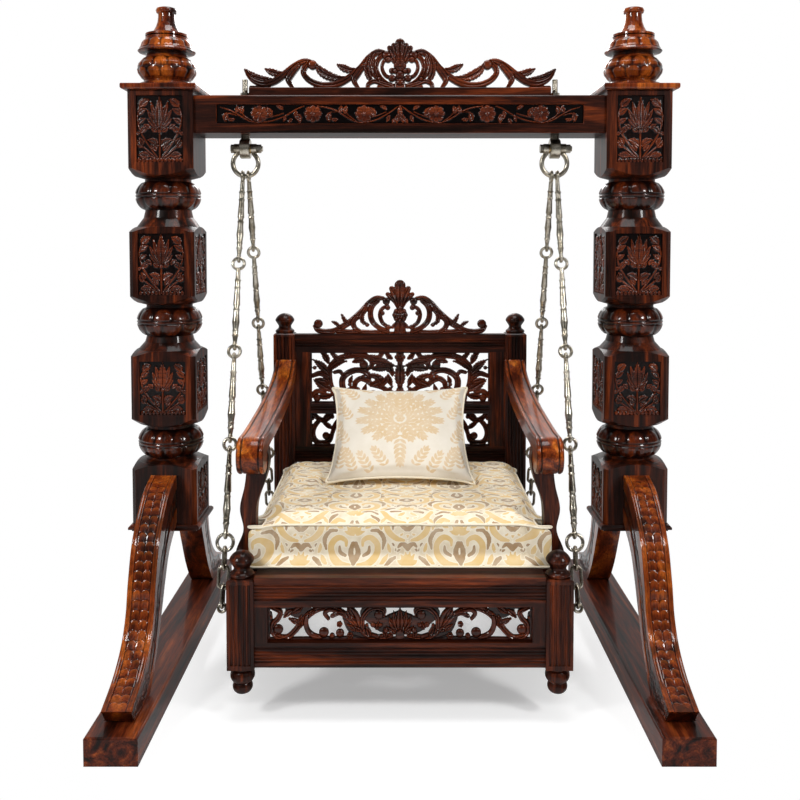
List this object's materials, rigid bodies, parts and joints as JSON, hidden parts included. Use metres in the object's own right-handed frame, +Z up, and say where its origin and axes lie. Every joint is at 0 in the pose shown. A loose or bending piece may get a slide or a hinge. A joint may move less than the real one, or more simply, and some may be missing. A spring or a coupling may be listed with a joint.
{
  "type": "jhoola swing",
  "caption": "Carved hardwood jhoola: a cushioned armchair seat hung on turned rod chains and shackles from a beam between turned posts on S-curved legs and floor rails.",
  "frame": {"origin": "on the floor, at the centre of the two floor rails", "axes": "+Z up, +X to the sitter's left along the beam (to the right as seen from the front), +Y towards the back of the seat"},
  "size_m": [1.592, 1.2, 1.933],
  "materials": {
    "sheesham": "dark red-brown stain under a glossy polish",
    "honey_sheesham": "warmer stain under a glossy polish",
    "deck_board": "unfinished board",
    "nickelled_steel": "nickel plate, slightly warm",
    "brass_bush": "plain",
    "cushion_fabric": "woven jacquard",
    "pillow_fabric": "woven damask"
  },
  "bodies": {
    "stand": {"base_rail_left": "sheesham", "post_left": "sheesham", "post_cap_left": "sheesham", "finial_left": "sheesham", "leg_front_left": "sheesham", "leg_rear_left": "sheesham", "hanger_housing_left": "nickelled_steel", "base_rail_right": "sheesham", "post_right": "sheesham", "post_cap_right": "sheesham", "finial_right": "sheesham", "leg_front_right": "sheesham", "leg_rear_right": "sheesham", "hanger_housing_right": "nickelled_steel", "post_base_mouldings": "sheesham", "top_beam": "sheesham", "beam_crest_strip": "sheesham", "beam_crest": "sheesham", "leg_bolts": "nickelled_steel", "hanger_nuts": "nickelled_steel", "hanger_bushes": "brass_bush"},
    "swing": {"chain_rods_front_left": "nickelled_steel", "chain_links_front_left": "nickelled_steel", "seat_post_front_left": "sheesham", "chain_rods_rear_left": "nickelled_steel", "chain_links_rear_left": "nickelled_steel", "seat_post_rear_left": "sheesham", "pivot_bolt_left": "nickelled_steel", "shackle_left": "nickelled_steel", "side_rail_left": "sheesham", "arm_left": "honey_sheesham", "arm_support_left": "sheesham", "chain_rods_front_right": "nickelled_steel", "chain_links_front_right": "nickelled_steel", "seat_post_front_right": "sheesham", "chain_rods_rear_right": "nickelled_steel", "chain_links_rear_right": "nickelled_steel", "seat_post_rear_right": "sheesham", "pivot_bolt_right": "nickelled_steel", "shackle_right": "nickelled_steel", "side_rail_right": "sheesham", "arm_right": "honey_sheesham", "arm_support_right": "sheesham", "seat_deck": "deck_board", "apron_top_rail": "sheesham", "apron_bottom_rail": "sheesham", "apron_stiles": "sheesham", "apron_carved_panel": "sheesham", "rear_rail": "sheesham", "back_bottom_rail": "sheesham", "back_mid_rail": "sheesham", "back_top_rail": "sheesham", "back_stiles": "sheesham", "back_panel_upper": "sheesham", "back_panel_lower": "sheesham", "back_crest": "sheesham", "pivot_nuts": "nickelled_steel", "seat_eye_bolts": "nickelled_steel"},
    "cushion": {"seat_cushion": "cushion_fabric"},
    "pillow": {"throw_pillow": "pillow_fabric"}
  },
  "joints": [
    {"name": "swing_pivot", "type": "hinge", "parent": "stand", "child": "swing", "pos_m": [0, 0, 1.5205], "axis": [1, 0, 0], "range_deg": [-25, 25]},
    {"name": "cushion_lift", "type": "slide", "parent": "swing", "child": "cushion", "axis": [0, 0, 1], "range_m": [0, 0.08]},
    {"name": "pillow_lift", "type": "slide", "parent": "cushion", "child": "pillow", "axis": [0, -0.7071, 0.7071], "range_m": [0, 0.2]}
  ]
}
